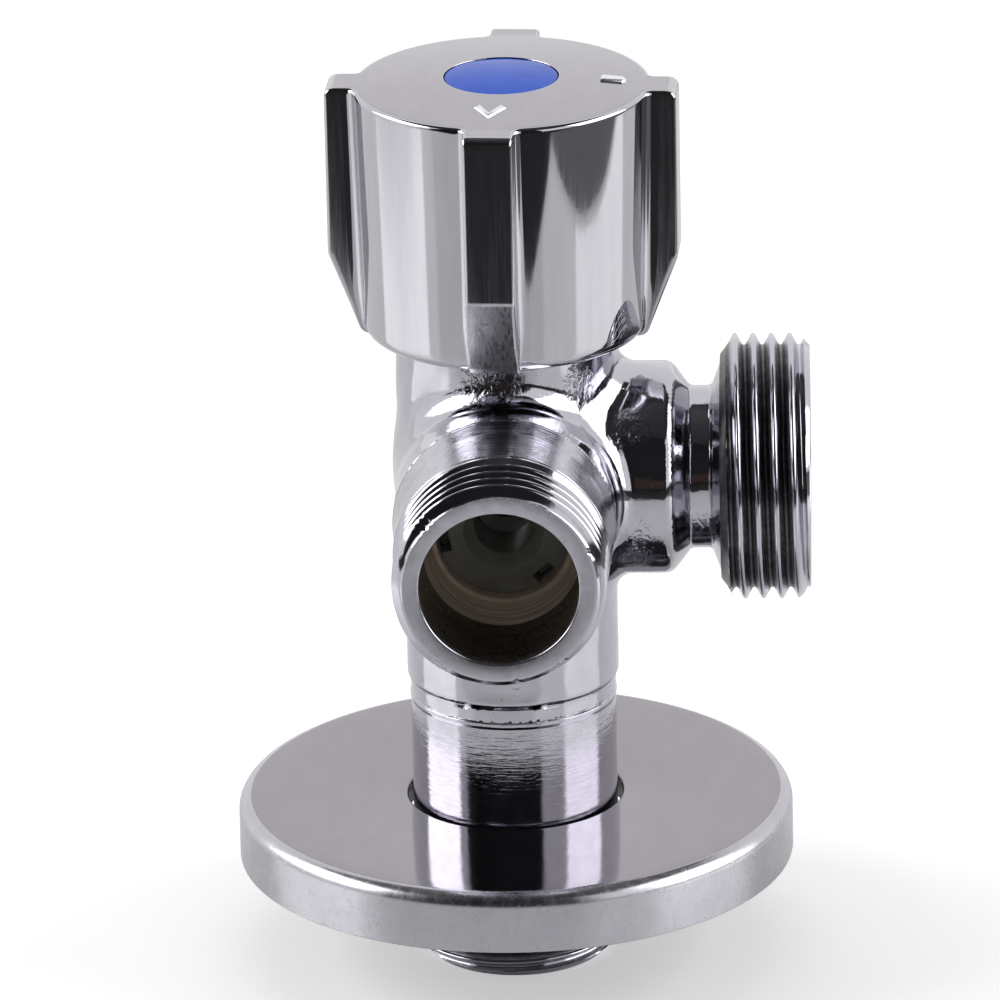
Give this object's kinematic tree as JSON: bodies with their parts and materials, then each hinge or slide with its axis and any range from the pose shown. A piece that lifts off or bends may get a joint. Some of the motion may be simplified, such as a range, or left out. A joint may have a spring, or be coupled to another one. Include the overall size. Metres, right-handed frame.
{
  "type": "double angle ball valve",
  "caption": "Angle ball valve with an inlet below, two outlets at a right angle, a ribbed knob on top and a sliding wall plate.",
  "frame": {"origin": "centre of the inlet's end face", "axes": "+Z along the inlet and the stem up to the knob, +X along the three quarter inch outlet, -Y along the half inch outlet"},
  "size_m": [0.0579, 0.0613, 0.0926],
  "materials": {
    "chromed_brass": "polished chrome over cast and turned brass",
    "plated_ball": "polished chrome over brass",
    "ptfe": "waxy white",
    "nut_plastic": "milky, slightly translucent",
    "bare_brass": "turned, bare",
    "seal_rubber": "black, matte",
    "red_fibre": "pressed fibre",
    "steel": "zinc plated",
    "knob_chrome": "polished chrome with a satin top",
    "cap_blue": "glossy, slightly translucent",
    "plate_chrome": "polished stainless sheet, brushed rim"
  },
  "bodies": {
    "body": {"valve_body": "chromed_brass", "seat_front": "ptfe", "seat_right": "ptfe", "seat_back": "ptfe", "seat_left": "ptfe", "seat_nut_front": "nut_plastic", "seat_nut_right": "nut_plastic", "thrust_washer": "ptfe", "glide_ring": "ptfe", "gland_gasket": "red_fibre", "gland_nut": "bare_brass"},
    "handle": {"knob": "knob_chrome", "stem": "bare_brass", "stem_o_ring_lower": "seal_rubber", "stem_o_ring_upper": "seal_rubber", "stop_ring": "steel", "lock_washer": "steel", "knob_screw": "steel", "knob_cap": "cap_blue"},
    "ball": {"ball": "plated_ball"},
    "plate": {"wall_plate": "plate_chrome"}
  },
  "joints": [
    {"name": "knob_turn", "type": "hinge", "parent": "body", "child": "handle", "pos_m": [0, 0, 0.0512], "axis": [0, 0, 1], "range_deg": [-180, 0]},
    {"name": "ball_turn", "type": "hinge", "parent": "body", "child": "ball", "pos_m": [0, 0, 0.0512], "axis": [0, 0, 1], "range_deg": [-180, 0]},
    {"name": "plate_slide", "type": "slide", "parent": "body", "child": "plate", "axis": [0, 0, 1], "range_m": [-0.0105, 0.0205]}
  ],
  "couplings": [
    {"joint": "ball_turn", "follows": "knob_turn", "ratio": 1}
  ]
}
